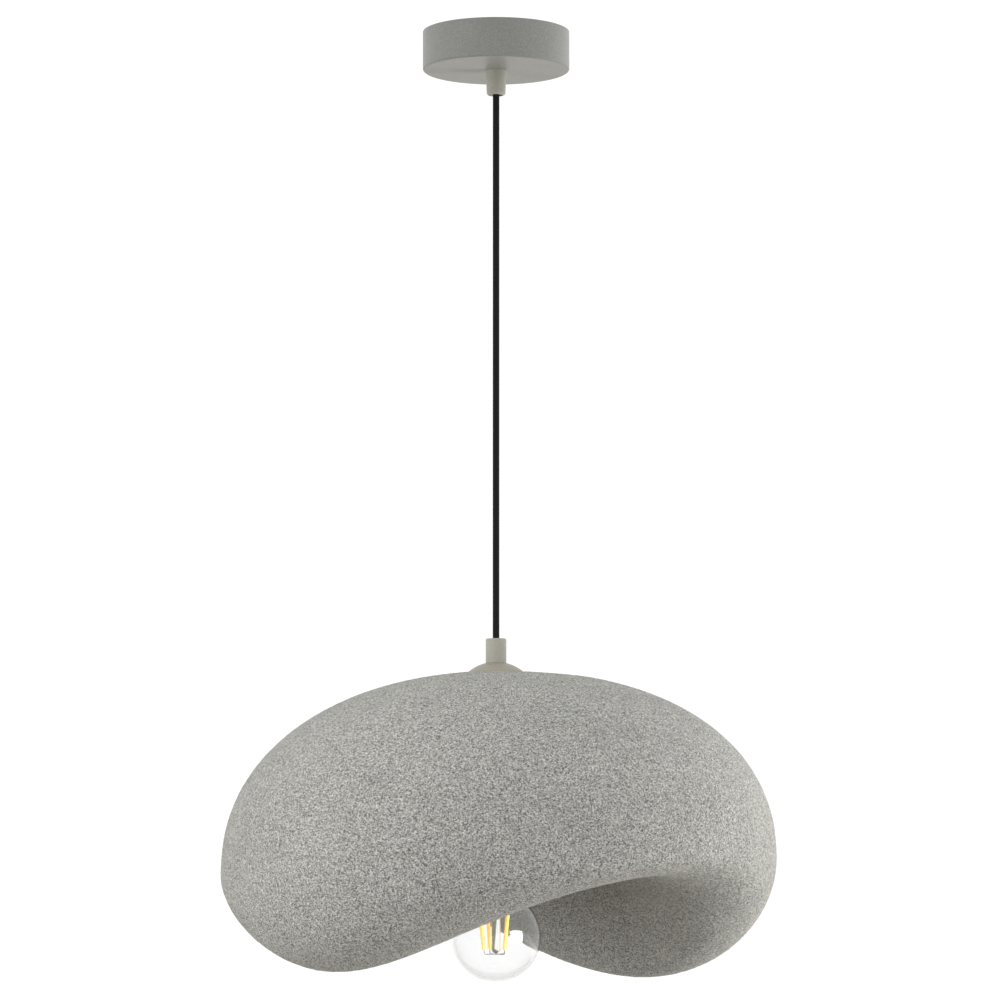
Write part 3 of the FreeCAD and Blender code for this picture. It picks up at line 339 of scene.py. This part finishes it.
def colour_of(value):
    """A grey number or three numbers as a colour with alpha."""
    three = (value, value, value) if isinstance(value, (int, float)) else value
    return (*three, 1.0)


def scaled(colour, factors):
    """A colour with each of its numbers multiplied by its own factor."""
    return tuple(c * f for c, f in zip(colour, factors))


def paint_look(name, colour, roughness, fleck, warm=WHITE):
    """Satin powder coat with fine metallic flecks and a faint orange-peel surface."""
    look = Look(name, Metallic=0.0, Specular_IOR_Level=0.45)
    _, random = look.cells(size=0.00055)
    flecks = look.spread(look.maths("POWER", random, 2.2), 0.0, 1.0, 1.0 - fleck, 1.0 + 1.6 * fleck)
    broad = look.patchy(size=0.018, detail=3.0, low=0.97, high=1.03)
    tone = look.maths("MULTIPLY", flecks, broad)
    drift = look.noise(size=0.03, detail=1.0)
    base = look.mix(drift, colour_of(colour), colour_of(scaled(colour, warm)))
    tinted = look.times(base, tone)
    normal = look.bump(look.noise(size=0.0011, detail=3.0), depth=0.00006, strength=0.7,
                       normal=look.soft_edges(radius=0.0003))
    rough = look.patchy(size=0.0009, detail=2.0, low=roughness - 0.05, high=roughness + 0.06)
    return look.finish(tinted, rough, normal)


def metal_look(name, colour, roughness, streak=0.0006, wear=0.12):
    """Bare metal with fine drawn streaks, a little tarnish and softened edges."""
    look = Look(name, Metallic=1.0)
    drawn = look.drawn_out(0.12)
    tarnish = look.patchy(size=0.006, detail=4.0, low=1.0 - wear, high=1.0 + 0.4 * wear, edge=0.35)
    base = look.times(colour_of(colour), tarnish)
    lines = look.noise(streak, detail=2.0, roughness=0.6, place=drawn)
    rough = look.spread(lines, 0.3, 0.7, roughness - 0.07, roughness + 0.09)
    normal = look.bump(lines, depth=0.00004, strength=0.5, normal=look.soft_edges(radius=0.00015))
    return look.finish(base, rough, normal)


def plastic_look(name, colour, roughness):
    """Moulded plastic or ceramic: fine grain, slight shade changes and softened edges."""
    grain = 0.0007
    look = Look(name, Specular_IOR_Level=0.5)
    tone = look.patchy(size=0.008, detail=3.0, low=0.94, high=1.06)
    base = look.times(colour_of(colour), tone)
    rough = look.patchy(grain, detail=2.0, low=roughness - 0.06, high=roughness + 0.08)
    normal = look.bump(look.noise(grain, detail=3.0), depth=0.00003, strength=0.5,
                       normal=look.soft_edges(radius=0.0002))
    return look.finish(base, rough, normal)


def glass_look(name, tint):
    """Clear blown glass, with faint waves in it, that lets lamplight through."""
    look = Look(name, Roughness=0.0, IOR=1.46, Transmission_Weight=1.0)
    drift = look.noise(size=0.02, detail=1.0)
    base = look.mix(drift, colour_of(tint), colour_of(scaled(tint, (0.985, 0.985, 0.985))))
    normal = look.bump(look.noise(size=0.014, detail=1.0), depth=0.0002, strength=0.25)
    look.set(look.shader, {"Base_Color": base, "Normal": normal})
    clear = look.add("ShaderNodeBsdfTransparent", inputs={"Color": colour_of(0.96)}).outputs[0]
    shadow = look.add("ShaderNodeLightPath").outputs["Is Shadow Ray"]
    shaders = {0: shadow, 1: look.shader.outputs[0], 2: clear}
    look.set(look.output, {"Surface": look.add("ShaderNodeMixShader", inputs=shaders).outputs[0]})
    return look.material


def braid_look(name):
    """Matt black rayon yarn: near black with a soft sheen and single threads along each yarn."""
    look = Look(name, Sheen_Weight=0.03, Sheen_Roughness=0.4, Specular_IOR_Level=0.12)
    fibres = look.noise(size=0.00025, detail=3.0, roughness=0.65, place=look.drawn_out(0.35))
    base = look.ramp(fibres, (0.25, (0.005, 0.005, 0.0052)), (0.6, (0.013, 0.013, 0.0134)),
                     (0.85, (0.030, 0.030, 0.031)))
    rough = look.spread(fibres, 0.3, 0.7, 0.5, 0.72)
    return look.finish(base, rough, look.bump(fibres, depth=0.00008, strength=0.6))


def phosphor_look(name):
    """The yellow silicone coat over a filament's diodes, a little uneven, with light soaking through."""
    look = Look(name, Emission_Color=(1.0, 0.72, 0.26, 1.0), Emission_Strength=0.16)
    beads = look.noise(size=0.0011, detail=2.0)
    base = look.ramp(beads, (0.3, (1.0, 0.58, 0.10)), (0.7, (1.0, 0.70, 0.20)))
    return look.finish(base, 0.45, look.bump(beads, depth=0.00005, strength=0.4))


def sand_look(name):
    """Sand-textured grey coat: grains of several greys with dark pits, and painted shade that darkens it
    deep in the arch.
    """
    look = Look(name, Specular_IOR_Level=0.12)
    wobble = look.noise(SAND_GRAIN * SAND_WOBBLE, detail=2.0)
    grain_gap, grain_tone = look.cells(SAND_GRAIN * SAND_CELL)
    speck_gap, speck_tone = look.cells(SAND_GRAIN * SAND_SPECK)
    tones = look.weighted(grain_tone, 0.5, speck_tone, 0.3)
    tones = look.maths("ADD", tones, look.maths("MULTIPLY", wobble, 0.2))
    greys = look.ramp(tones, *SAND_GREYS)
    broad = look.patchy(size=0.045, detail=3.0, low=0.96, high=1.04)
    # Painted shade: ambient occlusion darkens the coat's colour where other surfaces hem it in, most in
    # the arch's roof.
    around = look.add("ShaderNodeAmbientOcclusion", {"samples": 4}, {"Distance": PAINTED_SHADE_REACH})
    painted_shade_openness = look.spread(around.outputs["AO"], *PAINTED_SHADE_FADE)
    base = look.times(look.times(greys, broad), look.ramp(painted_shade_openness, *PAINTED_SHADE_TONES))
    grain_height = look.spread(grain_gap, 0.0, 0.7, 1.0, 0.0)
    speck_height = look.spread(speck_gap, 0.0, 0.7, 1.0, 0.0)
    height = look.weighted(grain_height, 0.6, speck_height, 0.4)
    rough = look.spread(grain_tone, 0.0, 1.0, 0.78, 0.95)
    return look.finish(base, rough, look.bump(height, depth=0.0003, strength=0.35))


def make_looks():
    """One material for each of the record's slots."""
    return {
        "canopy_paint": paint_look("canopy_paint_look", (0.287, 0.292, 0.273), 0.42, fleck=0.10),
        "cap_paint": paint_look("cap_paint_look", (0.36, 0.35, 0.30), 0.48, fleck=0.05,
                                warm=(1.06, 1.0, 0.92)),
        "cord_braid": braid_look("cord_braid_look"),
        "sand_coating": sand_look("sand_coating_look"),
        "zinc_steel": metal_look("zinc_steel_look", (0.60, 0.60, 0.61), 0.34),
        "brass": metal_look("brass_look", (0.78, 0.57, 0.25), 0.28),
        "white_insulator": plastic_look("white_insulator_look", (0.80, 0.79, 0.75), 0.35),
        "block_plastic": plastic_look("block_plastic_look", (0.74, 0.74, 0.72), 0.50),
        "holder_plastic": plastic_look("holder_plastic_look", (0.76, 0.76, 0.74), 0.38),
        "core_brown": plastic_look("core_brown_look", (0.16, 0.07, 0.03), 0.40),
        "core_blue": plastic_look("core_blue_look", (0.03, 0.11, 0.38), 0.40),
        "core_green": plastic_look("core_green_look", (0.20, 0.38, 0.05), 0.40),
        "bulb_nickel": metal_look("bulb_nickel_look", (0.74, 0.73, 0.71), 0.20),
        "solder": metal_look("solder_look", (0.62, 0.62, 0.60), 0.38, streak=0.0010, wear=0.20),
        "black_glass": plastic_look("black_glass_look", (0.015, 0.015, 0.016), 0.12),
        "driver_board": plastic_look("driver_board_look", (0.06, 0.20, 0.09), 0.45),
        "clear_glass": glass_look("clear_glass_look", (0.985, 0.99, 0.99)),
        "filament_phosphor": phosphor_look("filament_phosphor_look"),
        "bare_wire": metal_look("bare_wire_look", (0.30, 0.29, 0.28), 0.30),
    }


def dress(looks):
    """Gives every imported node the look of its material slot, and the two glands a warmer paint."""
    gland_paint = paint_look("gland_paint_look", (0.460, 0.453, 0.388), 0.45, fleck=0.06)
    own = dict.fromkeys(GLAND_BODIES, gland_paint)
    for part in frame["record"]["subparts"]:
        node = NODES[part["node"]]
        for holder in node.material_slots:
            holder.material = own.get(part["node"], looks[part["material_slot"]])


# ---------------------------------------------------------------- shade


def make_shade(look):
    """The shade's skin, remeshed evenly and roughened so that single grains break its outline."""
    made = bpy.data.objects.new("sand_shade", NODES["shade"].data.copy())
    bpy.context.scene.collection.objects.link(made)
    remesh = made.modifiers.new("remesh", "REMESH")
    remesh.mode = "VOXEL"
    remesh.voxel_size = SAND_VOXEL
    smooth = made.modifiers.new("smooth", "SMOOTH")
    smooth.factor = SAND_SMOOTH_FACTOR
    smooth.iterations = SAND_SMOOTH_STEPS
    done = made.evaluated_get(bpy.context.evaluated_depsgraph_get())
    skin = bpy.data.meshes.new_from_object(done)
    made.modifiers.clear()
    made.data = skin
    roughen(skin)
    skin.materials.clear()
    skin.materials.append(look)
    skin.shade_smooth()
    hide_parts("shade")
    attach(made, "pendant")


def roughen(mesh):
    """Moves each point along its normal by sand-sized noise."""
    for vertex, normal in zip(mesh.vertices, [n.vector.copy() for n in mesh.vertex_normals]):
        fine = noise.noise(vertex.co / (SAND_FINE_LUMP * SAND_GRAIN))
        broad = noise.noise(vertex.co / (SAND_BROAD_LUMP * SAND_GRAIN))
        vertex.co += SAND_RELIEF * (fine + SAND_BROAD_SHARE * broad) * normal
    mesh.update()


# ---------------------------------------------------------------- studio


def make_floor():
    """A plain pale floor, well under the light, that glows a little so that glass shows it pale."""
    turns = np.linspace(0, 2 * math.pi, FLOOR_CORNERS, endpoint=False)
    rim = [(FLOOR_RADIUS * math.cos(a), FLOOR_RADIUS * math.sin(a), -FLOOR_DROP) for a in turns]
    floor = add_mesh("floor", rim, [tuple(range(FLOOR_CORNERS))])
    look = Look("floor_look", Roughness=0.9, Specular_IOR_Level=0.1,
                Emission_Strength=FLOOR_GLOW, Emission_Color=colour_of(1.0))
    base = look.mix(look.noise(size=1.5, detail=2.0), colour_of(0.86), colour_of(0.88))
    look.set(look.shader, {"Base_Color": base})
    floor.data.materials.append(look.material)
    floor.visible_diffuse = False
    floor.visible_glossy = False


def soft_light(name, place, aim, side, power):
    """A square softbox at place, turned to aim, that nothing sees or mirrors."""
    lamp = bpy.data.objects.new(name, bpy.data.lights.new(name, "AREA"))
    bpy.context.scene.collection.objects.link(lamp)
    lamp.data.shape = "SQUARE"
    lamp.data.size = side
    lamp.data.energy = power
    lamp.location = place
    lamp.rotation_euler = (Vector(aim) - Vector(place)).to_track_quat("-Z", "Y").to_euler()
    lamp.visible_camera = False
    lamp.visible_transmission = False
    lamp.visible_glossy = False
    return lamp


def make_world():
    """A white backdrop for the camera and through glass, and a room that lights the lamp.

    The room in front gives no light from below. Shiny surfaces mirror a pale room all round.
    """
    world = bpy.data.worlds.new("studio")
    bpy.context.scene.world = world
    world.use_nodes = True
    world.node_tree.nodes.clear()
    nodes = Nodes(world.node_tree)
    direction = nodes.add("ShaderNodeTexCoord").outputs["Generated"]
    axes = nodes.add("ShaderNodeSeparateXYZ", inputs={"Vector": direction}).outputs
    front = nodes.spread(axes["Z"], *FRONT_FADE, 0.0, SKY_FRONT)
    back = nodes.spread(axes["Z"], *BACK_FADE, GROUND_BACK, SKY_BACK)
    behind = nodes.spread(axes["Y"], *BEHIND_FADE)
    strength = nodes.weighted(back, behind, front, nodes.maths("SUBTRACT", 1.0, behind))
    warmth = nodes.ramp(nodes.spread(axes["Z"], *WARM_FADE), (0.0, WARM_GROUND), (1.0, WHITE))
    path = nodes.add("ShaderNodeLightPath").outputs
    mirrored = nodes.maths("MULTIPLY", path["Is Glossy Ray"], MIRRORED)
    strength = nodes.maths("MAXIMUM", strength, mirrored)
    room = nodes.add("ShaderNodeBackground", inputs={"Color": warmth, "Strength": strength}).outputs[0]
    white = {"Color": colour_of(WHITE), "Strength": BACKDROP}
    backdrop = nodes.add("ShaderNodeBackground", inputs=white).outputs[0]
    direct = nodes.maths("LESS_THAN", path["Diffuse Depth"], 0.5)
    through_glass = nodes.maths("MULTIPLY", path["Is Transmission Ray"], direct)
    seen = nodes.maths("MAXIMUM", path["Is Camera Ray"], through_glass)
    both = nodes.add("ShaderNodeMixShader", inputs={0: seen, 1: room, 2: backdrop}).outputs[0]
    nodes.add("ShaderNodeOutputWorld", inputs={"Surface": both})


def make_glint():
    """A softbox that only the bulb's glass mirrors, far out from the bulb."""
    low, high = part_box("bulb_glass")
    bulb = Vector((0.0, 0.0, low.z + (high.x - low.x) / 2))
    place = bulb + GLINT_REACH * Vector(GLINT_DIRECTION).normalized()
    power = GLINT_RADIANCE * GLINT_SIDE * GLINT_SIDE * math.pi
    lamp = soft_light("glint_right", place, bulb, GLINT_SIDE, power)
    lamp.visible_diffuse = False
    lamp.visible_glossy = True
    receivers = bpy.data.collections.new("glint_right")
    receivers.objects.link(NODES["bulb_glass"])
    lamp.light_linking.receiver_collection = receivers


def make_lights():
    """The softboxes round the lamp, and the bulb's glint."""
    for name, (place, side, watts) in SOFTBOXES.items():
        soft_light(name, place, LIT_MIDDLE, side, watts)
    make_glint()


make_camera()
cord = make_cord()
looks = make_looks()
dress(looks)
cord.data.materials.append(looks["cord_braid"])
make_shade(looks["sand_coating"])
make_floor()
make_world()
make_lights()
bpy.context.scene.view_settings.view_transform = "Standard"
